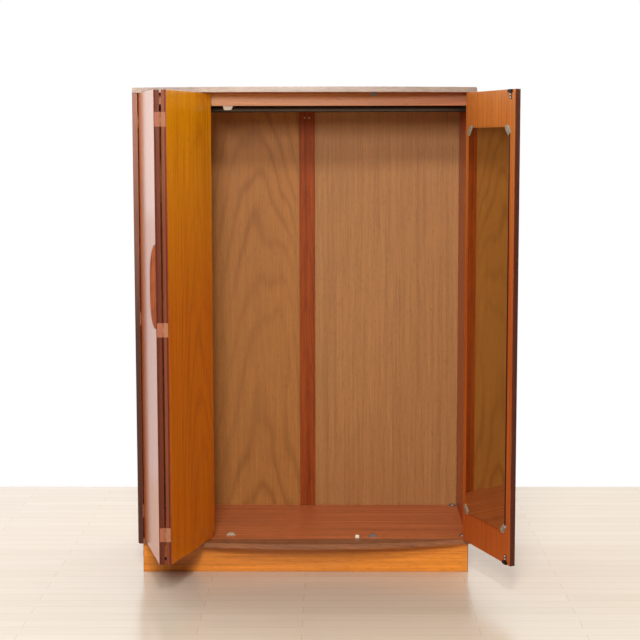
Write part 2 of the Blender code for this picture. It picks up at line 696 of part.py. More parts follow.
def make_looks():
    return {
        "carcass": new_material("Teak veneer, carcass", (0.42, 0.17, 0.09), 0.35),
        "lipping": new_material("Teak lipping", (0.45, 0.23, 0.12), 0.35),
        "rail": new_material("Teak rail", (0.50, 0.24, 0.13), 0.35),
        "plinth": new_material("Teak plinth", (0.56, 0.24, 0.07), 0.4),
        "back_left": new_material("Veneered back, left", (0.38, 0.20, 0.08), 0.5),
        "back_right": new_material("Veneered back, right", (0.42, 0.22, 0.11), 0.5),
        "batten": new_material("Hardwood batten", (0.28, 0.10, 0.04), 0.45),
        "door_face": new_material("Teak veneer, door face", (0.50, 0.18, 0.04), 0.25),
        "door_inner": new_material("Teak veneer, door inside", (0.55, 0.17, 0.05), 0.35),
        "handle": new_material("Shaped teak handle", (0.35, 0.11, 0.04), 0.35),
        "hinge": new_material("Bronzed steel hinge", (0.35, 0.20, 0.12), 0.4, 0.8),
        "metal": new_material("Bright steel", (0.6, 0.6, 0.6), 0.35, 1.0),
        "rod": new_material("Plated hanging rail", (0.45, 0.43, 0.40), 0.25, 1.0),
        "socket": new_material("Dark rail socket", (0.05, 0.045, 0.04), 0.5),
        "strike": new_material("Brown plated strike", (0.20, 0.12, 0.09), 0.4, 0.6),
        "nylon": new_material("Pale nylon", (0.62, 0.58, 0.52), 0.5),
        "stud": new_material("White nylon", (0.90, 0.88, 0.82), 0.4),
        "catch": new_material("Dark steel catch", (0.10, 0.10, 0.10), 0.4, 0.7),
        "mirror": new_material("Silvered glass", (0.75, 0.75, 0.74), 0.03, 1.0),
        "clip": new_material("Clear plastic clip", (0.75, 0.74, 0.70), 0.3),
    }


def main():
    clear_scene()
    parts = new_collection("Wardrobe")
    cutters = new_collection("Cutters", hidden=True)
    looks = make_looks()
    left_pivot = add_pivot("left_door_pivot", LEFT_AXIS, -LEFT_OPEN, parts)
    fold_pivot = add_pivot("fold_pivot", FOLD_AXIS, LEFT_OPEN + MIDDLE_OPEN, parts, left_pivot)
    right_pivot = add_pivot("right_door_pivot", RIGHT_AXIS, RIGHT_OPEN, parts)
    top_panel = build_carcass(parts, looks)
    build_back(parts, looks)
    build_plinth(parts, looks)
    build_hanging_rail(parts, looks)
    build_track(top_panel, parts, cutters, looks)
    build_strikes(parts, looks)
    build_hinges(parts, looks, left_pivot, fold_pivot, right_pivot)
    build_left_door(parts, looks, left_pivot)
    build_handle(parts, looks, left_pivot)
    middle_core = build_middle_door(parts, cutters, looks, fold_pivot)
    build_guide(middle_core, parts, cutters, looks, fold_pivot)
    build_right_door(parts, looks, right_pivot)
    build_mirror(parts, looks, right_pivot)
    build_catches(parts, looks, left_pivot, right_pivot)
    for cutter in cutters.objects:
        cutter.hide_render = True
        cutter.display_type = "WIRE"


main()
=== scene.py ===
"""The finishes, small fittings, studio and camera of a teak wardrobe with folding doors."""

import json
from math import cos, pi, radians, sin

import bmesh
import bpy
from bpy.props import FloatProperty, FloatVectorProperty, PointerProperty
from mathutils import Matrix, Vector


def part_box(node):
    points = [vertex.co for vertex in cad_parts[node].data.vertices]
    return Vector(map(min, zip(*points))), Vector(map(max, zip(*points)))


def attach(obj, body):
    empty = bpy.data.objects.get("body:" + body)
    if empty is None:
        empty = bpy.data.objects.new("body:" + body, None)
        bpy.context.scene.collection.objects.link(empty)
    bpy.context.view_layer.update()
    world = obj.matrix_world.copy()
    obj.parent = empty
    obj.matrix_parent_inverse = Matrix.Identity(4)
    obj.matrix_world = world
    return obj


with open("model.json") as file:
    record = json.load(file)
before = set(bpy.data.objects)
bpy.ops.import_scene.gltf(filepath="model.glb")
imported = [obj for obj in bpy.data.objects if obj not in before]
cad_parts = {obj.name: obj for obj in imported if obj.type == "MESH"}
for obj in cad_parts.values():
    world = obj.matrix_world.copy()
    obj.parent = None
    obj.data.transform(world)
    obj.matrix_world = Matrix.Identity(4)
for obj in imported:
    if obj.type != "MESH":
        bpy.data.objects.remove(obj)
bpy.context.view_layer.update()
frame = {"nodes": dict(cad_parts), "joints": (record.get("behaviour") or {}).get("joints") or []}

bl_info = {
    "name": "Wardrobe with Folding Doors",
    "version": (1, 0, 0),
    "blender": (4, 5, 0),
    "location": "3D View > Sidebar > Wardrobe",
    "description": "Finishes, fittings, studio and camera for a teak wardrobe",
    "category": "Object",
}

MM = 0.001

# How far each door stands open at rest, about its own hinge line
LEFT_TURN = radians(-75.2)
MIDDLE_TURN = radians(73.4)
RIGHT_TURN = radians(109.5)

# How a board's grain lies: up it, along it, or along it from front to back
UPRIGHT = (0.0, 0.0, 0.0)
LENGTHWAYS = (0.0, pi / 2, 0.0)
FRONT_TO_BACK = (0.0, pi / 2, pi / 2)

# Repeats of each grain in a metre: across, through and along the leaf
WANDER_GRAIN = (4.0, 4.0, 1.1)
RING_PATCHES = (7.0, 7.0, 1.6)
RIBBONS_ALONG = 1.4
# Fibres are a fifth of a millimetre, drawn some ten times as coarse so that they show
FIBRE_GRAIN = (300.0, 300.0, 7.0)
# Open pores: dark dashes a few millimetres long, drawn coarse too
PORE_GRAIN = (520.0, 520.0, 45.0)
WEAR_PATCHES = (22.0, 22.0, 14.0)
WANDER_REACH = 0.16
WANDER_RISE = 5.0
RING_SHARPNESS = 3.5
LIP_DARKENING = 0.6
RUBBED_ARRIS = 1.6 * MM
# Dark along the door grooves: partly old wax, partly painted shade in the recess
WAX_AND_SHADE = "#2A0E08"
WAX_AND_SHADE_COVER = 0.85
COAT_ROUGHNESS = 0.12
WOOD_IOR = 1.5
WOOD_RELIEF = 0.15 * MM
SHARP_EDGE = radians(40)
TURNED_STEPS = 24
VIEWPORT_BROWN = (0.5, 0.25, 0.1, 1)

# Where the painted shade on the doors, the sides and the rail begins and ends
DOOR_FOOT = 0.2
DOOR_HEAD = 1.7
RAIL_END = 0.6

# Small fittings
SANDED = 0.8 * MM
WORN_LIPPING = 1.5 * MM
BATTEN_SCREW_HEIGHT = 1.661
BATTEN_SCREW_SHARES = (0.35, 0.65)
BATTEN_SCREW_SCALE = 0.4
CLIP_SCREW_SCALE = 0.36
CLIP_SCREW_OUT = 2.5 * MM
CATCH_SCREW_PLACES = (17 * MM, 27 * MM)
CATCH_SCREW_LIFT = 1.5 * MM
CAP_HEIGHT = 6 * MM
CAP_SIDE_GAP = 5 * MM
CAP_BACK_GAP = 2 * MM
CAP_FRONT_PLACE = 45 * MM
CAP_LIFT = 0.3 * MM
SILVER_DEPTH = 0.6 * MM

# How bright the studio is in each direction
FRONT_GLOW = 0.03
BACK_GLOW = 1.25
CEILING_GLOW = 0.5
LEFT_GLOW = 1.25
RIGHT_GLOW = 0.85

# name, place, target, size, power
LIGHTS = (
    ("low_softbox", (-0.3, -5.3, 2.6), (0.0, 0.3, 0.9), 0.8, 150),
    ("high_softbox", (0.1, -5.3, 4.0), (0.0, 0.3, 0.9), 0.5, 120),
    ("side_fill", (-3.4, -3.4, 2.2), (-0.2, 0.1, 0.9), 1.8, 6),
)
CAMERA_PLACE = (0.100, -5.568, 1.552)
CAMERA_LENS = 87.33
CAMERA_SENSOR = 36
CAMERA_FAR = 100
CAMERA_YAW = radians(0.475)
CAMERA_PITCH = radians(90 - 6.393)
CAMERA_ROLL = radians(-0.085)
FLOOR_RADIUS = 30
FLOOR_STEPS = 96
FLOOR_EDGE = 0.02
BOARD_LENGTH = 0.91
BOARD_WIDTH = 0.075
BOARD_GAP = 1.2 * MM


def linear(hex_colour):
    """An sRGB hex colour as linear red, green and blue."""
    values = [int(hex_colour[i : i + 2], 16) / 255 for i in (1, 3, 5)]
    return tuple(v / 12.92 if v <= 0.04045 else ((v + 0.055) / 1.055) ** 2.4 for v in values)


def joint_place(name):
    for joint in frame["joints"]:
        if joint["name"] == name:
            return Vector(joint["pos_m"])
    raise RuntimeError(f"the frame has no joint named {name}")


LEFT_AXIS = joint_place("left_door_hinge")
FOLD_AXIS = joint_place("fold_hinge")
RIGHT_AXIS = joint_place("right_door_hinge")


# ---------------------------------------------------------------- small tools


def add_node(tree, kind, inputs=None, **settings):
    """Adds a node with its settings, and sets or links its inputs by name or number."""
    node = tree.nodes.new(kind)
    for key, value in settings.items():
        setattr(node, key, value)
    for key, value in (inputs or {}).items():
        if isinstance(value, bpy.types.NodeSocket):
            tree.links.new(value, node.inputs[key])
        else:
            node.inputs[key].default_value = value
    return node


def new_material(name):
    """A material with only its output node, and its node tree."""
    material = bpy.data.materials.new(name)
    material.use_nodes = True
    tree = material.node_tree
    tree.nodes.clear()
    return material, tree


def finish_material(material, tree, shader):
    add_node(tree, "ShaderNodeOutputMaterial", {"Surface": shader.outputs[0]})
    material.diffuse_color = VIEWPORT_BROWN
    return material


def dress(material, *names):
    """Gives CAD nodes a material."""
    for name in names:
        mesh = frame["nodes"][name].data
        mesh.materials.clear()
        mesh.materials.append(material)


def soften(width, *names):
    """Rounds the arrises of CAD nodes, as sanding does."""
    for name in names:
        node = frame["nodes"][name]
        bevel = node.modifiers.new("Sanded arrises", "BEVEL")
        bevel.width = width
        bevel.segments = 3
        bevel.limit_method = "ANGLE"
        bevel.angle_limit = radians(50)
        bevel.use_clamp_overlap = True
        bevel.harden_normals = False


def link_mesh(name, shape, material, body, place=None):
    """Makes an object of a bmesh, puts it in place and lets it ride on a body."""
    mesh = bpy.data.meshes.new(name)
    shape.to_mesh(mesh)
    shape.free()
    mesh.materials.append(material)
    for polygon in mesh.polygons:
        polygon.use_smooth = True
    mesh.set_sharp_from_angle(angle=radians(35))
    thing = bpy.data.objects.new(name, mesh)
    bpy.context.scene.collection.objects.link(thing)
    if place is not None:
        thing.matrix_world = place
    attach(thing, body)
    return thing


def turned(profile, steps=TURNED_STEPS):
    """A bmesh turned round z from (radius, height) points, closed on the axis at both ends."""
    shape = bmesh.new()
    rings = []
    for radius, height in profile:
        if radius == 0:
            rings.append([shape.verts.new((0, 0, height))])
        else:
            angles = [2 * pi * i / steps for i in range(steps)]
            points = [(radius * cos(angle), radius * sin(angle), height) for angle in angles]
            rings.append([shape.verts.new(point) for point in points])
    for low, high in zip(rings, rings[1:]):
        for i in range(steps):
            j = (i + 1) % steps
            lower = [low[i % len(low)], low[j % len(low)]]
            upper = [high[j % len(high)], high[i % len(high)]]
            corners = lower + upper
            unique = list(dict.fromkeys(corners))
            if len(unique) > 2:
                shape.faces.new(unique)
    bmesh.ops.recalc_face_normals(shape, faces=shape.faces)
    return shape


def slotted_head(radius, height):
    """A domed screw head with a driver slot across it."""
    steps = 6
    profile = [(0, -height / 2), (radius, -height / 2), (radius, 0)]
    for i in range(1, steps):
        angle = pi / 2 * i / steps
        profile.append((radius * cos(angle), height * sin(angle)))
    profile.append((0, height))
    shape = turned(profile)
    width = radius * 0.22
    for vertex in shape.verts:
        if abs(vertex.co.y) < width and vertex.co.z > height * 0.4:
            vertex.co.z -= height * 0.45
    return shape


def facing(normal, place):
    """A matrix that puts +z along normal at place."""
    turn = Vector(normal).to_track_quat("Z", "Y").to_matrix().to_4x4()
    return Matrix.Translation(place) @ turn


# ------------------------------------------------------------------ materials


def wood(
    name,
    light,
    dark,
    pivot=(0, 0, 0),
    turn=UPRIGHT,
    centre=0.0,
    arch=0.0,
    arch_spacing=0.09,
    arch_width=330.0,
    stripe=0.35,
    stripe_spacing=0.011,
    fibre=0.18,
    roughness=0.38,
    specular=0.3,
    coat=0.25,
    fade=None,
    lips=(),
    lip_fade=None,
    grooves=(),
    seed=0.0,
):
    """Sliced veneer under lacquer: arches of growth rings, ribbon stripes, fibres and open pores.

    arch is how strongly the growth rings show, and stripe how strongly the ribbons do. fade is
    (colour, lowest height, highest height): painted shade, the wood taking on that tint towards the lowest.
    A lip is (colour, axis, limit, side): past that limit it is the solid lipping, unpolished, and
    lip_fade tints the lips alone, as painted shade.
    A groove is (axis, place, half width), dark with old wax and painted shade. Every arris is rubbed pale in
    patches.
    """
    material, tree = new_material(name)
    coords = add_node(tree, "ShaderNodeTexCoord").outputs["Object"]
    local = add_node(
        tree,
        "ShaderNodeMapping",
        {"Vector": coords, "Location": tuple(pivot), "Rotation": turn},
        vector_type="TEXTURE",
    ).outputs[0]
    offset = (seed, seed * 0.7, seed * 1.3)
    shifted = add_node(tree, "ShaderNodeVectorMath", {0: local, 1: offset}, operation="ADD").outputs[0]
    across = add_node(tree, "ShaderNodeSeparateXYZ", {0: local}).outputs

    def scaled(values):
        inputs = {0: shifted, 1: values}
        return add_node(tree, "ShaderNodeVectorMath", inputs, operation="MULTIPLY").outputs[0]

    def noise(values, detail, rough=0.5):
        settings = {"Vector": scaled(values), "Scale": 1.0, "Detail": detail, "Roughness": rough}
        return add_node(tree, "ShaderNodeTexNoise", settings).outputs[0]

    def sums(operation, first, second, third=0.0, clamp=False):
        inputs = {0: first, 1: second, 2: third}
        return add_node(tree, "ShaderNodeMath", inputs, operation=operation, use_clamp=clamp).outputs[0]

    def spread(value, low, high, to_low, to_high):
        inputs = {"Value": value, 1: low, 2: high, 3: to_low, 4: to_high}
        return add_node(tree, "ShaderNodeMapRange", inputs).outputs[0]

    def mixed(share, first, second, blend="MIX"):
        inputs = {0: share, 6: first, 7: second}
        return add_node(tree, "ShaderNodeMix", inputs, data_type="RGBA", blend_type=blend).outputs[2]

    # The tree's own wander, a few centimetres over a metre
    wander = noise(WANDER_GRAIN, 3.0, 0.45)
    drift = sums("MULTIPLY_ADD", wander, WANDER_REACH, -WANDER_REACH / 2)
    from_middle = sums("ADD", sums("SUBTRACT", across["X"], centre), drift)
    bowl = sums("MULTIPLY", sums("MULTIPLY", from_middle, from_middle), arch_width)
    climb = sums("MULTIPLY_ADD", across["Z"], 1 / arch_spacing, bowl)
    climb = sums("MULTIPLY_ADD", wander, WANDER_RISE, climb)
    wave = sums("SINE", sums("MULTIPLY", climb, 2 * pi), 0.0)
    rings = sums("POWER", sums("MULTIPLY_ADD", wave, 0.5, 0.5), RING_SHARPNESS)
    # Growth rings come and go with how the knife met them
    ring_share = spread(noise(RING_PATCHES, 2.0), 0.35, 0.65, 0.2 * arch, arch)
    rings = sums("MULTIPLY", rings, ring_share)

    # Ribbon stripes that run the length of the leaf
    ribbon = 1 / stripe_spacing
    ribbons = spread(noise((ribbon, ribbon, RIBBONS_ALONG), 3.0, 0.6), 0.32, 0.68, 0.0, stripe)
    fibres = noise(FIBRE_GRAIN, 4.0, 0.65)
    fibre_shade = spread(fibres, 0.25, 0.75, 1 - fibre, 1 + fibre * 0.8)
    pores = spread(noise(PORE_GRAIN, 1.0), 0.62, 0.72, 0.0, 1.0)
    pore_shade = spread(pores, 0.0, 1.0, 1.0, 0.72)

    amount = sums("ADD", rings, ribbons, clamp=True)
    colour = mixed(amount, (*light, 1), (*dark, 1))
    # Painted shade: the colour is tinted towards the lowest height, as light falls off there
    if fade:
        tint, lowest, highest = fade
        share = spread(across["Z"], lowest, highest, 1.0, 0.0)
        colour = mixed(1.0, colour, mixed(share, (1, 1, 1, 1), (*tint, 1)), "MULTIPLY")
    bare = None
    for lip_colour, axis, limit, side in lips:
        past = sums("GREATER_THAN" if side > 0 else "LESS_THAN", across[axis], limit)
        lip_dark = tuple(c * LIP_DARKENING for c in lip_colour)
        colour = mixed(past, colour, mixed(ribbons, (*lip_colour, 1), (*lip_dark, 1)))
        bare = past if bare is None else sums("MAXIMUM", bare, past)
    # Painted shade on the lips alone, tinted towards the lowest height
    if lip_fade:
        tint, lowest, highest = lip_fade
        share = sums("MULTIPLY", bare, spread(across["Z"], lowest, highest, 1.0, 0.0))
        colour = mixed(1.0, colour, mixed(share, (1, 1, 1, 1), (*tint, 1)), "MULTIPLY")
    # Hands and dusters have rubbed the arrises pale: there the bevelled normal leaves the true one
    rounded = add_node(tree, "ShaderNodeBevel", {"Radius": RUBBED_ARRIS}, samples=4).outputs[0]
    true = add_node(tree, "ShaderNodeNewGeometry").outputs["Normal"]
    inputs = {0: rounded, 1: true}
    agree = add_node(tree, "ShaderNodeVectorMath", inputs, operation="DOT_PRODUCT").outputs["Value"]
    patches = spread(noise(WEAR_PATCHES, 4.0, 0.7), 0.44, 0.62, 0.1, 0.6)
    worn = sums("MULTIPLY", spread(agree, 0.98, 0.8, 0.0, 1.0), patches)
    pale = tuple(min(1.0, c * 1.4 + 0.05) for c in light)
    colour = mixed(worn, colour, (*pale, 1))
    # Painted shade and old wax: each groove is darkened along its line
    for axis, place, half in grooves:
        gap = sums("ABSOLUTE", sums("SUBTRACT", across[axis], place), 0.0)
        share = spread(gap, half * 0.5, half, WAX_AND_SHADE_COVER, 0.0)
        colour = mixed(share, colour, (*linear(WAX_AND_SHADE), 1))
    shade = sums("MULTIPLY", fibre_shade, pore_shade)
    grey = add_node(tree, "ShaderNodeCombineXYZ", {0: shade, 1: shade, 2: shade}).outputs[0]
    colour = mixed(1.0, colour, grey, "MULTIPLY")

    polish = coat
    if bare is not None and coat:
        polish = sums("MULTIPLY_ADD", bare, -coat * 0.9, coat)
    sheen = spread(fibres, 0.2, 0.8, roughness - 0.06, roughness + 0.08)
    relief = sums("MULTIPLY_ADD", pores, -0.6, fibres)
    bump = add_node(tree, "ShaderNodeBump", {"Height": relief, "Strength": 0.1, "Distance": WOOD_RELIEF})
    shader = add_node(
        tree,
        "ShaderNodeBsdfPrincipled",
        {
            "Base Color": colour,
            "Roughness": sheen,
            "IOR": WOOD_IOR,
            "Specular IOR Level": specular,
            "Coat Weight": polish,
            "Coat Roughness": COAT_ROUGHNESS,
            "Normal": bump.outputs[0],
        },
    )
    return finish_material(material, tree, shader)


def metal(name, colour, roughness, grit_mm=0.8, tarnish=0.25, metallic=1.0):
    """A drawn or plated metal part: faint scratches, with tarnish in uneven patches."""
    material, tree = new_material(name)
    coords = add_node(tree, "ShaderNodeTexCoord").outputs["Object"]
    inputs = {"Vector": coords, "Scale": 1 / (grit_mm * MM), "Detail": 3.0}
    grain = add_node(tree, "ShaderNodeTexNoise", inputs).outputs[0]
    inputs = {"Vector": coords, "Scale": 90.0, "Detail": 2.0}
    patch = add_node(tree, "ShaderNodeTexNoise", inputs).outputs[0]
    inputs = {"Value": patch, 1: 0.4, 2: 0.7, 3: 0.0, 4: tarnish}
    share = add_node(tree, "ShaderNodeMapRange", inputs).outputs[0]
    worn = tuple(c * 0.45 for c in colour)
    inputs = {0: share, 6: (*colour, 1), 7: (*worn, 1)}
    shade = add_node(tree, "ShaderNodeMix", inputs, data_type="RGBA").outputs[2]
    inputs = {"Value": grain, 1: 0.3, 2: 0.7, 3: roughness - 0.05, 4: roughness + 0.1}
    rough = add_node(tree, "ShaderNodeMapRange", inputs).outputs[0]
    inputs = {"Height": grain, "Strength": 0.08, "Distance": 0.05 * MM}
    bump = add_node(tree, "ShaderNodeBump", inputs).outputs[0]
    inputs = {"Base Color": shade, "Roughness": rough, "Metallic": metallic, "Normal": bump}
    shader = add_node(tree, "ShaderNodeBsdfPrincipled", inputs)
    return finish_material(material, tree, shader)


def plastic(name, colour, roughness, clear=0.0):
    """Moulded nylon or clear plastic: an even skin with a slight orange peel and yellowed patches."""
    material, tree = new_material(name)
    coords = add_node(tree, "ShaderNodeTexCoord").outputs["Object"]
    inputs = {"Vector": coords, "Scale": 700.0, "Detail": 2.0}
    peel = add_node(tree, "ShaderNodeTexNoise", inputs).outputs[0]
    inputs = {"Vector": coords, "Scale": 60.0, "Detail": 1.0}
    patch = add_node(tree, "ShaderNodeTexNoise", inputs).outputs[0]
    aged = (colour[0] * 0.9, colour[1] * 0.82, colour[2] * 0.65)
    inputs = {0: patch, 6: (*colour, 1), 7: (*aged, 1)}
    shade = add_node(tree, "ShaderNodeMix", inputs, data_type="RGBA").outputs[2]
    inputs = {"Height": peel, "Strength": 0.1, "Distance": 0.1 * MM}
    bump = add_node(tree, "ShaderNodeBump", inputs).outputs[0]
    shader = add_node(
        tree,
        "ShaderNodeBsdfPrincipled",
        {
            "Base Color": shade,
            "Roughness": roughness,
            "Transmission Weight": clear,
            "IOR": 1.49,
            "Normal": bump,
        },
    )
    return finish_material(material, tree, shader)


def silvered_glass(name, edge_colour, front):
    """Mirror glass: silvered over its face, and dark green-brown where its cut edge shows."""
    material, tree = new_material(name)
    coords = add_node(tree, "ShaderNodeTexCoord").outputs["Object"]
    local = add_node(
        tree,
        "ShaderNodeMapping",
        {"Vector": coords, "Location": tuple(RIGHT_AXIS), "Rotation": (0, 0, RIGHT_TURN)},
        vector_type="TEXTURE",
    ).outputs[0]
    depth = add_node(tree, "ShaderNodeSeparateXYZ", {0: local}).outputs["Y"]
    face = add_node(tree, "ShaderNodeMath", {0: depth, 1: front}, operation="GREATER_THAN").outputs[0]
    inputs = {"Vector": local, "Scale": 7.0, "Detail": 4.0}
    haze = add_node(tree, "ShaderNodeTexNoise", inputs).outputs[0]
    inputs = {"Value": haze, 1: 0.35, 2: 0.75, 3: 0.015, 4: 0.05}
    rough = add_node(tree, "ShaderNodeMapRange", inputs).outputs[0]
    silver = add_node(
        tree,
        "ShaderNodeBsdfPrincipled",
        {"Base Color": (*linear("#DCD6BC"), 1), "Metallic": 1.0, "Roughness": rough},
    )
    cut = add_node(tree, "ShaderNodeBsdfPrincipled", {"Base Color": (*edge_colour, 1), "Roughness": 0.3})
    both = add_node(tree, "ShaderNodeMixShader", {0: face, 1: cut.outputs[0], 2: silver.outputs[0]})
    return finish_material(material, tree, both)


# ----------------------------------------------------------------- properties


class WardrobeFinish(bpy.types.PropertyGroup):
    door_light: FloatVectorProperty(
        name="Door veneer, light",
        description="Early wood of the lacquered teak on the door faces",
        default=linear("#EC9011"),
        subtype="COLOR",
        min=0,
        max=1,
    )
    door_dark: FloatVectorProperty(
        name="Door veneer, dark",
        description="Late wood of the lacquered teak on the door faces",
        default=linear("#B65803"),
        subtype="COLOR",
        min=0,
        max=1,
    )
    carcass_light: FloatVectorProperty(
        name="Carcass veneer, light",
        description="Early wood of the carcass veneer",
        default=linear("#B64920"),
        subtype="COLOR",
        min=0,
        max=1,
    )
    carcass_dark: FloatVectorProperty(
        name="Carcass veneer, dark",
        description="Late wood of the carcass veneer",
        default=linear("#7B280F"),
        subtype="COLOR",
        min=0,
        max=1,
    )
    back_light: FloatVectorProperty(
        name="Back veneer, light",
        description="Early wood of the unlacquered back boards",
        default=linear("#AE7031"),
        subtype="COLOR",
        min=0,
        max=1,
    )
    back_dark: FloatVectorProperty(
        name="Back veneer, dark",
        description="Late wood of the unlacquered back boards",
        default=linear("#8B531C"),
        subtype="COLOR",
        min=0,
        max=1,
    )


class WardrobeSizes(bpy.types.PropertyGroup):
    screw_head: FloatProperty(
        name="Screw head",
        description="Diameter of the screw heads on the catches and clips",
        default=7 * MM,
        min=0,
        unit="LENGTH",
    )
    joint_fitting: FloatProperty(
        name="Joint fitting",
        description="Diameter of the caps on the knock-down fittings in the corners",
        default=24 * MM,
        min=0,
        unit="LENGTH",
    )
    floor_reach: FloatProperty(
        name="Floor reach",
        description="How far behind the wardrobe the pale floor meets the white wall",
        default=1.41,
        min=0,
        unit="LENGTH",
    )


# ------------------------------------------------------------------ operators


class WARDROBE_OT_carcass(bpy.types.Operator):
    """Dress the carcass boards, plinth and front rail"""

    bl_idname = "wardrobe.carcass"
    bl_label = "Carcass"

    def execute(self, context):
        finish = context.scene.wardrobe_finish
        light, dark = tuple(finish.carcass_light), tuple(finish.carcass_dark)
        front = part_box("side_left")[0].y
        edge_colour = linear("#A8705C")
        for side, name in enumerate(("side_left", "side_right")):
            # Sliced teak, lacquered and rubbed down: long straight ribbons with a satin sheen
            veneer = wood(
                f"Teak veneer, {name}",
                light,
                dark,
                centre=0.3,
                arch=0.18,
                stripe=0.4,
                lips=((edge_colour, "Y", front + 0.4 * MM, -1),),
                # Painted shade: the front edges darken from 1.7 m down to 0.9 m, as light falls off from
                # above
                lip_fade=(linear("#7C6961"), 0.9, DOOR_HEAD),
                seed=3.0 + side,
            )
            dress(veneer, name)
        soften(SANDED, "side_left", "side_right", "top_panel")
        # The top's bowed front is solid teak, painted pale as a highlight of the light from above the front,
        # and tinted darker towards one end as painted shade
        top = wood(
            "Teak veneer, top",
            light,
            dark,
            turn=LENGTHWAYS,
            centre=0.0,
            arch=0.15,
            stripe=0.45,
            lips=((linear("#D3BFB1"), "Y", front - 2 * MM, -1),),
            lip_fade=(linear("#CEC8C5"), RAIL_END, -RAIL_END),
            seed=7.0,
        )
        dress(top, "top_panel")
        # The bottom board's grain runs from side to side, worn where things are pushed in and out
        floor = wood(
            "Teak veneer, floor",
            linear("#E2844C"),
            linear("#9A4C28"),
            turn=LENGTHWAYS,
            arch=0.1,
            stripe=0.8,
            stripe_spacing=0.009,
            roughness=0.45,
            coat=0.1,
            seed=11.0,
        )
        dress(floor, "bottom_panel")
        lipping = wood(
            "Solid teak lipping",
            linear("#9E6540"),
            linear("#643A24"),
            turn=LENGTHWAYS,
            arch=0.3,
            stripe=0.5,
            roughness=0.45,
            coat=0.1,
            seed=13.0,
        )
        dress(lipping, "bottom_lipping")
        soften(WORN_LIPPING, "bottom_lipping")
        rail = wood(
            "Teak rail",
            linear("#EAA25E"),
            linear("#B06C35"),
            turn=LENGTHWAYS,
            arch=0.0,
            stripe=0.45,
            coat=0.15,
            # Painted shade: darker towards one end, as the light falls off along the rail
            fade=(linear("#B68E67"), RAIL_END, -RAIL_END),
            seed=17.0,
        )
        dress(rail, "front_rail")
        # Its ends have darkened where the veneer stops
        plinth_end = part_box("plinth_front")[1].x - 1.5 * MM
        end_dark = linear("#4A2010")
        plinth = wood(
            "Teak plinth, lacquered",
            linear("#F0932E"),
            linear("#B96317"),
            turn=LENGTHWAYS,
            arch=0.12,
            stripe=0.6,
            stripe_spacing=0.008,
            roughness=0.4,
            coat=0.2,
            lips=((end_dark, "Z", plinth_end, 1), (end_dark, "Z", -plinth_end, -1)),
            seed=19.0,
        )
        dress(plinth, "plinth_front", "plinth_back")
        plinth_side = wood(
            "Teak plinth, sides",
            linear("#C87838"),
            linear("#8A4A1C"),
            turn=FRONT_TO_BACK,
            stripe=0.6,
            stripe_spacing=0.008,
            seed=20.0,
        )
        dress(plinth_side, "plinth_left", "plinth_right")
        return {"FINISHED"}


class WARDROBE_OT_back(bpy.types.Operator):
    """Dress the two back boards and the batten over their joint"""

    bl_idname = "wardrobe.back"
    bl_label = "Back boards"

    def execute(self, context):
        finish = context.scene.wardrobe_finish
        light, dark = tuple(finish.back_light), tuple(finish.back_dark)
        # Rotary cut plywood face, waxed and not lacquered: wide soft arches, matt
        left = wood(
            "Back board veneer, arched",
            light,
            dark,
            centre=-0.19,
            arch=0.5,
            arch_spacing=0.24,
            arch_width=70.0,
            stripe=0.25,
            stripe_spacing=0.008,
            roughness=0.55,
            coat=0.0,
            seed=23.0,
        )
        dress(left, "back_panel_left")
        right = wood(
            "Back board veneer, ribboned",
            linear("#B07943"),
            linear("#8D5929"),
            centre=0.22,
            arch=0.12,
            arch_spacing=0.2,
            arch_width=120.0,
            stripe=0.45,
            stripe_spacing=0.010,
            roughness=0.55,
            coat=0.0,
            seed=29.0,
        )
        dress(right, "back_panel_right")
        batten = wood(
            "Hardwood batten",
            linear("#A04917"),
            linear("#692608"),
            centre=0.0,
            arch=0.25,
            arch_spacing=0.2,
            arch_width=900.0,
            stripe=0.6,
            stripe_spacing=0.012,
            roughness=0.5,
            specular=0.12,
            coat=0.0,
            seed=31.0,
        )
        dress(batten, "back_batten")
        low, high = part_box("back_batten")
        steel = metal("Zinc plated screw", linear("#B9B4AC"), 0.35)
        radius = context.scene.wardrobe_sizes.screw_head * BATTEN_SCREW_SCALE
        for index, share in enumerate(BATTEN_SCREW_SHARES):
            spot = Vector((low.x + (high.x - low.x) * share, low.y, BATTEN_SCREW_HEIGHT))
            head = slotted_head(radius, radius * 0.35)
            place = facing((0, -1, 0), spot)
            link_mesh(f"batten_screw_{index}", head, steel, "carcass", place)
        return {"FINISHED"}


class WARDROBE_OT_hanging_rail(bpy.types.Operator):
    """Dress the oval rail and its end sockets"""

    bl_idname = "wardrobe.hanging_rail"
    bl_label = "Hanging rail"

    def execute(self, context):
        # Plated steel tube, drawn: its dark colour is painted shade of the deep shadow under the top, and it
        # reflects the inside, with a fine bright line
        dress(metal("Dark steel tube, painted shade", linear("#4A4038"), 0.3, tarnish=0.3), "hanging_rail")
        for name in ("hanging_rail", "rail_socket_left", "rail_socket_right"):
            mesh = frame["nodes"][name].data
            mesh.shade_smooth()
            mesh.set_sharp_from_angle(angle=SHARP_EDGE)
        dress(plastic("Moulded dark nylon", linear("#2A2523"), 0.5), "rail_socket_left", "rail_socket_right")
        return {"FINISHED"}


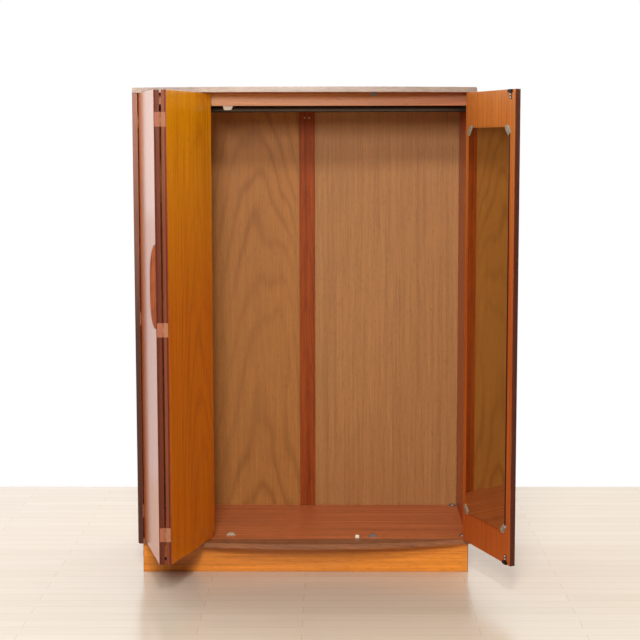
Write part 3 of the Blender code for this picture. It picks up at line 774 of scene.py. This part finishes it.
class WARDROBE_OT_doors(bpy.types.Operator):
    """Dress the boards of the three doors and the handle"""

    bl_idname = "wardrobe.doors"
    bl_label = "Doors"

    def execute(self, context):
        finish = context.scene.wardrobe_finish
        both = {"light": tuple(finish.door_light), "dark": tuple(finish.door_dark), "specular": 0.35}
        # Door faces: crown-cut teak under a full gloss lacquer, which gives the deep amber and the
        # bright reflection along a face seen edge on
        # The left and middle faces darken and redden towards the foot: painted shade of light falling from
        # above
        left = dict(both, centre=0.18, arch=0.3, arch_spacing=0.12, arch_width=330.0)
        left.update(stripe=0.35, coat=0.42, fade=(linear("#D8B090"), 0.05, DOOR_HEAD))
        middle = dict(light=linear("#F8A808"), dark=linear("#C46C03"), specular=0.2, centre=0.27)
        middle.update(arch=0.34, arch_spacing=0.30, arch_width=130.0)
        middle.update(stripe=0.42, coat=0.2, fade=(linear("#DAADA0"), 0.05, 0.9))
        right = dict(both, centre=-0.2, arch=0.3, arch_spacing=0.15, arch_width=250.0)
        right.update(stripe=0.4, coat=0.6)
        # Where the face meets the core, and a dark line of wax and painted shade along it: place and half
        # width
        thin, thick = 0.9 * MM, 1.6 * MM
        # The edge colours, one solid teak lipping lighter or darker door by door, are partly painted light
        # and shade of how each edge faces the lamps
        doors = (
            # name, axis, turn, face, free edge, side of it, face edge, core edge, groove
            ("left", LEFT_AXIS, LEFT_TURN, left, 0.3706, 1, "#7E422C", "#8E4C30", (0.0078, thin)),
            ("middle", FOLD_AXIS, MIDDLE_TURN, middle, 0.0024, -1, "#A8563A", "#B0745A", (-0.0155, thick)),
            ("right", RIGHT_AXIS, RIGHT_TURN, right, -0.3916, -1, "#58342C", "#6E3A28", (0.0078, thin)),
        )
        for name, axis, turn, face, limit, side, face_edge, core_edge, groove in doors:
            shared = {
                "pivot": axis,
                "turn": (0, 0, turn),
                # Painted shade: the edges darken towards the foot
                "lip_fade": (linear("#C89884"), DOOR_FOOT, DOOR_HEAD),
                "grooves": (("Y", *groove),),
            }
            veneer = wood(
                f"Teak veneer, {name} door face",
                stripe_spacing=0.014,
                roughness=0.3,
                lips=((linear(face_edge), "X", limit, side),),
                seed=37.0 + limit,
                **face,
                **shared,
            )
            dress(veneer, f"{name}_door_face")
            core = wood(
                f"Striped veneer, {name} door core",
                linear("#F2AC50"),
                linear("#B46A2A"),
                centre=0.2,
                arch=0.0,
                stripe=0.7,
                stripe_spacing=0.007,
                roughness=0.4,
                coat=0.15,
                # Painted shade: the cores darken towards the foot
                fade=(linear("#D49480"), 0.15, DOOR_HEAD),
                lips=((linear(core_edge), "X", limit, side),),
                seed=47.0 + turn,
                **shared,
            )
            dress(core, f"{name}_door_core")
        handle = wood(
            "Solid teak handle",
            linear("#B25A2C"),
            linear("#602610"),
            pivot=LEFT_AXIS,
            turn=(0, 0, LEFT_TURN),
            centre=0.36,
            arch=0.2,
            stripe=0.9,
            stripe_spacing=0.004,
            roughness=0.38,
            coat=0.2,
            seed=53.0,
        )
        dress(handle, "handle")
        return {"FINISHED"}


class WARDROBE_OT_mirror(bpy.types.Operator):
    """Dress the mirror and its corner clips, and screw the clips down"""

    bl_idname = "wardrobe.mirror"
    bl_label = "Mirror"

    def execute(self, context):
        turn = Matrix.Rotation(RIGHT_TURN, 4, "Z")
        glass = frame["nodes"]["mirror"].data.vertices
        local_box = [turn.inverted() @ (v.co - RIGHT_AXIS) for v in glass]
        front = max(p.y for p in local_box)
        silver = silvered_glass("Silvered float glass", linear("#1E1410"), front - SILVER_DEPTH)
        dress(silver, "mirror")
        clip = plastic("Clear acrylic clip", linear("#C2BEB2"), 0.25, clear=0.45)
        names = [name for name in frame["nodes"] if name.startswith("mirror_clip_")]
        dress(clip, *names)
        steel = metal("Nickel plated screw", linear("#C9C4BA"), 0.3)
        radius = context.scene.wardrobe_sizes.screw_head * CLIP_SCREW_SCALE
        outward = turn @ Vector((0, 1, 0))
        middle_x = (min(p.x for p in local_box) + max(p.x for p in local_box)) / 2
        middle_z = (min(p.z for p in local_box) + max(p.z for p in local_box)) / 2
        for name in names:
            corners = frame["nodes"][name].data.vertices
            points = [turn.inverted() @ (v.co - RIGHT_AXIS) for v in corners]
            centre = sum(points, Vector()) / len(points)
            away = Vector((centre.x - middle_x, 0, centre.z - middle_z))
            away = Vector((1 if away.x > 0 else -1, 0, 1 if away.z > 0 else -1)).normalized()
            top = max(p.y for p in points)
            foot = Vector((centre.x, top, centre.z)) + away * CLIP_SCREW_OUT
            place = RIGHT_AXIS + turn @ foot
            head = slotted_head(radius, radius * 0.4)
            screw = facing(outward, place)
            link_mesh(f"{name}_screw", head, steel, "right_door", screw)
        return {"FINISHED"}


class WARDROBE_OT_hinges(bpy.types.Operator):
    """Dress the hinge leaves"""

    bl_idname = "wardrobe.hinges"
    bl_label = "Hinges"

    def execute(self, context):
        names = [name for name in frame["nodes"] if name.startswith("hinge_")]
        # Steel butts, bronzed: warm brown, tarnished in uneven patches
        folding = [name for name in names if name.startswith("hinge_fold_")]
        hung = [name for name in names if name not in folding]
        dress(metal("Bronzed steel", linear("#A4664A"), 0.42, tarnish=0.5, metallic=0.5), *hung)
        # Those between the folding doors were lacquered over with the edges they lie on
        for side, colour in (("left", "#A35C3C"), ("middle", "#A9704F")):
            leaves = [name for name in folding if name.endswith(f"{side}_leaf")]
            name = f"Bronzed steel, lacquered, {side}"
            dress(metal(name, linear(colour), 0.5, tarnish=0.2, metallic=0.0), *leaves)
        for name in names:
            mesh = frame["nodes"][name].data
            mesh.shade_smooth()
            mesh.set_sharp_from_angle(angle=SHARP_EDGE)
        return {"FINISHED"}


class WARDROBE_OT_fittings(bpy.types.Operator):
    """Dress the catches, strikes, stop and guide, and add screws and joint fittings"""

    bl_idname = "wardrobe.fittings"
    bl_label = "Catches and fittings"

    def execute(self, context):
        nodes = frame["nodes"]
        black = metal("Blackened steel, and painted shade on the guide track", linear("#2C2A2A"), 0.4, tarnish=0.4)
        dull = metal("Dull zinc plated steel", linear("#80766E"), 0.45, tarnish=0.4, metallic=0.4)
        bright = metal("Zinc plated steel", linear("#D2CEC8"), 0.4, metallic=0.35)
        nylon = plastic("Moulded nylon, aged", linear("#B8A894"), 0.45)
        white = plastic("White nylon", linear("#F2ECDD"), 0.35)
        dress(black, *[name for name in nodes if name.startswith("catch_")])
        dress(dull, "strike_right_floor", "strike_right_top")
        dress(nylon, "strike_left_floor", "strike_left_top", "guide_roller")
        dress(white, "centre_stop")
        # The guide track is black as painted shade of the shadowed gap under the rail
        dress(black, "guide_track")
        dress(bright, "guide_pin")
        self.add_catch_screws(context, bright)
        self.add_joint_fittings(context, dull)
        return {"FINISHED"}

    def add_catch_screws(self, context, material):
        """Two round heads on each catch's tongue."""
        radius = context.scene.wardrobe_sizes.screw_head / 2
        doors = (("right", RIGHT_AXIS, RIGHT_TURN), ("left", LEFT_AXIS, LEFT_TURN))
        for side, axis, angle in doors:
            body = f"{side}_door"
            turn = Matrix.Rotation(angle, 4, "Z")
            outward = turn @ Vector((0, 1, 0))
            for end in ("top", "bottom"):
                name = f"catch_{side}_{end}"
                corners = frame["nodes"][name].data.vertices
                points = [turn.inverted() @ (v.co - axis) for v in corners]
                inner = min(p.y for p in points)
                middle = (min(p.x for p in points) + max(p.x for p in points)) / 2
                low, high = min(p.z for p in points), max(p.z for p in points)
                inward = -1 if end == "top" else 1
                start = high if end == "top" else low
                for index, reach in enumerate(CATCH_SCREW_PLACES):
                    spot = Vector((middle, inner + CATCH_SCREW_LIFT, start + inward * reach))
                    head = slotted_head(radius, radius * 0.6)
                    place = facing(outward, axis + turn @ spot)
                    link_mesh(f"{name}_screw_{index}", head, material, body, place)

    def add_joint_fittings(self, context, material):
        """The caps of the knock-down fittings where the floor meets the sides."""
        radius = context.scene.wardrobe_sizes.joint_fitting / 2
        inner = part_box("side_right")[0].x
        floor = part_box("bottom_panel")[1].z
        front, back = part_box("side_right")[0].y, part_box("back_panel_right")[0].y
        rim = (radius, CAP_HEIGHT * 0.55)
        shoulder = (radius * 0.86, CAP_HEIGHT)
        profile = [(0, 0), (radius, 0), rim, shoulder, (0, CAP_HEIGHT * 0.92)]
        places = (("front", front + CAP_FRONT_PLACE), ("back", back - radius - CAP_BACK_GAP))
        for side, hand in ((-1, "left"), (1, "right")):
            for end, y in places:
                spot = (side * (inner - radius - CAP_SIDE_GAP), y, floor + CAP_LIFT)
                name = f"joint_fitting_{end}_{hand}"
                place = Matrix.Translation(spot)
                link_mesh(name, turned(profile), material, "carcass", place)


class WARDROBE_OT_stage(bpy.types.Operator):
    """Lay the pale floor, set the lights and place the camera"""

    bl_idname = "wardrobe.stage"
    bl_label = "Studio"

    def execute(self, context):
        scene = context.scene
        scene.view_settings.view_transform = "Standard"
        self.add_floor(context)
        self.add_sky(scene)
        self.add_lights(scene)
        self.add_camera(scene)
        return {"FINISHED"}

    def add_floor(self, context):
        reach = context.scene.wardrobe_sizes.floor_reach
        shape = bmesh.new()
        bmesh.ops.create_circle(shape, cap_ends=True, segments=FLOOR_STEPS, radius=FLOOR_RADIUS)
        mesh = bpy.data.meshes.new("floor")
        shape.to_mesh(mesh)
        shape.free()
        floor = bpy.data.objects.new("floor", mesh)
        context.scene.collection.objects.link(floor)
        material, tree = new_material("Pale floorboards")
        coords = add_node(tree, "ShaderNodeTexCoord").outputs["Object"]
        plank = add_node(
            tree,
            "ShaderNodeTexBrick",
            {
                "Vector": coords,
                "Color1": (*linear("#DACDBB"), 1),
                "Color2": (*linear("#DFD3C3"), 1),
                "Mortar": (*linear("#CDBA9C"), 1),
                "Scale": 1.0,
                "Mortar Size": BOARD_GAP,
                "Brick Width": BOARD_LENGTH,
                "Row Height": BOARD_WIDTH,
            },
            offset=0.37,
        ).outputs["Color"]
        inputs = {0: coords, 1: (3.0, 60.0, 1.0)}
        lengthways = add_node(tree, "ShaderNodeVectorMath", inputs, operation="MULTIPLY").outputs[0]
        inputs = {"Vector": lengthways, "Scale": 1.0, "Detail": 4.0}
        grain = add_node(tree, "ShaderNodeTexNoise", inputs).outputs[0]
        inputs = {0: grain, 6: (1, 1, 1, 1), 7: (0.94, 0.88, 0.78, 1)}
        tint = add_node(tree, "ShaderNodeMix", inputs, data_type="RGBA").outputs[2]
        inputs = {0: 1.0, 6: plank, 7: tint}
        colour = add_node(
            tree, "ShaderNodeMix", inputs, data_type="RGBA", blend_type="MULTIPLY"
        ).outputs[2]
        boards = add_node(tree, "ShaderNodeBsdfPrincipled", {"Base Color": colour, "Roughness": 0.22})
        white = add_node(tree, "ShaderNodeEmission", {"Color": (1, 1, 1, 1), "Strength": 1.0})
        away = add_node(tree, "ShaderNodeSeparateXYZ", {0: coords}).outputs["Y"]
        inputs = {"Value": away, 1: reach, 2: reach + FLOOR_EDGE, 3: 0.0, 4: 1.0}
        share = add_node(tree, "ShaderNodeMapRange", inputs).outputs[0]
        both = add_node(tree, "ShaderNodeMixShader", {0: share, 1: boards.outputs[0], 2: white.outputs[0]})
        finish_material(material, tree, both)
        mesh.materials.append(material)

    def add_sky(self, scene):
        """White all round: brightest behind the wardrobe and on the left, as beside a window."""
        world = bpy.data.worlds.new("Studio")
        scene.world = world
        world.use_nodes = True
        tree = world.node_tree
        tree.nodes.clear()
        where = add_node(tree, "ShaderNodeTexCoord").outputs["Generated"]
        axes = add_node(tree, "ShaderNodeSeparateXYZ", {0: where}).outputs

        def ramp(axis, start, end, low, high):
            inputs = {"Value": axes[axis], 1: start, 2: end, 3: low, 4: high}
            return add_node(tree, "ShaderNodeMapRange", inputs).outputs[0]

        behind = ramp("Y", -0.1, 0.35, FRONT_GLOW, BACK_GLOW)
        sideways = ramp("X", -0.7, 0.7, LEFT_GLOW, RIGHT_GLOW)
        overhead = ramp("Z", 0.3, 0.9, 0.0, CEILING_GLOW)
        inputs = {0: behind, 1: overhead}
        glow = add_node(tree, "ShaderNodeMath", inputs, operation="ADD").outputs[0]
        inputs = {0: glow, 1: sideways}
        power = add_node(tree, "ShaderNodeMath", inputs, operation="MULTIPLY").outputs[0]
        seen = add_node(tree, "ShaderNodeLightPath").outputs["Is Camera Ray"]
        # Cool from the window on the left, warm from the room on the right
        inputs = {0: ramp("X", -0.7, 0.7, 0.0, 1.0), 6: (0.95, 0.985, 1.04, 1), 7: (1.0, 0.95, 0.88, 1)}
        tint = add_node(tree, "ShaderNodeMix", inputs, data_type="RGBA").outputs[2]
        lit = add_node(tree, "ShaderNodeBackground", {"Color": tint, "Strength": power})
        plain = add_node(tree, "ShaderNodeBackground", {"Color": (1.0, 1.0, 1.0, 1), "Strength": 1.0})
        both = add_node(tree, "ShaderNodeMixShader", {0: seen, 1: lit.outputs[0], 2: plain.outputs[0]})
        add_node(tree, "ShaderNodeOutputWorld", {"Surface": both.outputs[0]})

    def add_lights(self, scene):
        """Two softboxes, one above the other, so that the top's shadow has two steps, and a fill."""
        for name, place, target, size, power in LIGHTS:
            lamp = bpy.data.lights.new(name, "AREA")
            lamp.shape = "SQUARE"
            lamp.size = size
            lamp.energy = power
            holder = bpy.data.objects.new(name, lamp)
            holder.location = place
            direction = Vector(target) - Vector(place)
            holder.rotation_euler = direction.to_track_quat("-Z", "Y").to_euler()
            scene.collection.objects.link(holder)

    def add_camera(self, scene):
        lens = bpy.data.cameras.new("camera")
        lens.sensor_width = CAMERA_SENSOR
        lens.lens = CAMERA_LENS
        lens.clip_end = CAMERA_FAR
        camera = bpy.data.objects.new("camera", lens)
        turn = Matrix.Rotation(CAMERA_YAW, 4, "Z") @ Matrix.Rotation(CAMERA_PITCH, 4, "X")
        turn = turn @ Matrix.Rotation(CAMERA_ROLL, 4, "Z")
        camera.matrix_world = Matrix.Translation(CAMERA_PLACE) @ turn
        scene.collection.objects.link(camera)
        scene.camera = camera


class WARDROBE_PT_panel(bpy.types.Panel):
    """The steps that finish the wardrobe"""

    bl_label = "Wardrobe"
    bl_idname = "WARDROBE_PT_panel"
    bl_space_type = "VIEW_3D"
    bl_region_type = "UI"
    bl_category = "Wardrobe"

    def draw(self, context):
        layout = self.layout
        for owner in (context.scene.wardrobe_finish, context.scene.wardrobe_sizes):
            for name in owner.__annotations__:
                layout.prop(owner, name)
        for operator in OPERATORS:
            layout.operator(operator.bl_idname)


OPERATORS = (
    WARDROBE_OT_carcass,
    WARDROBE_OT_back,
    WARDROBE_OT_hanging_rail,
    WARDROBE_OT_doors,
    WARDROBE_OT_mirror,
    WARDROBE_OT_hinges,
    WARDROBE_OT_fittings,
    WARDROBE_OT_stage,
)
CLASSES = (WardrobeFinish, WardrobeSizes, *OPERATORS, WARDROBE_PT_panel)


def register():
    for cls in CLASSES:
        bpy.utils.register_class(cls)
    bpy.types.Scene.wardrobe_finish = PointerProperty(type=WardrobeFinish)
    bpy.types.Scene.wardrobe_sizes = PointerProperty(type=WardrobeSizes)


def unregister():
    del bpy.types.Scene.wardrobe_sizes
    del bpy.types.Scene.wardrobe_finish
    for cls in reversed(CLASSES):
        bpy.utils.unregister_class(cls)


def main():
    register()
    bpy.ops.wardrobe.carcass()
    bpy.ops.wardrobe.back()
    bpy.ops.wardrobe.hanging_rail()
    bpy.ops.wardrobe.doors()
    bpy.ops.wardrobe.mirror()
    bpy.ops.wardrobe.hinges()
    bpy.ops.wardrobe.fittings()
    bpy.ops.wardrobe.stage()


if __name__ == "__main__":
    main()
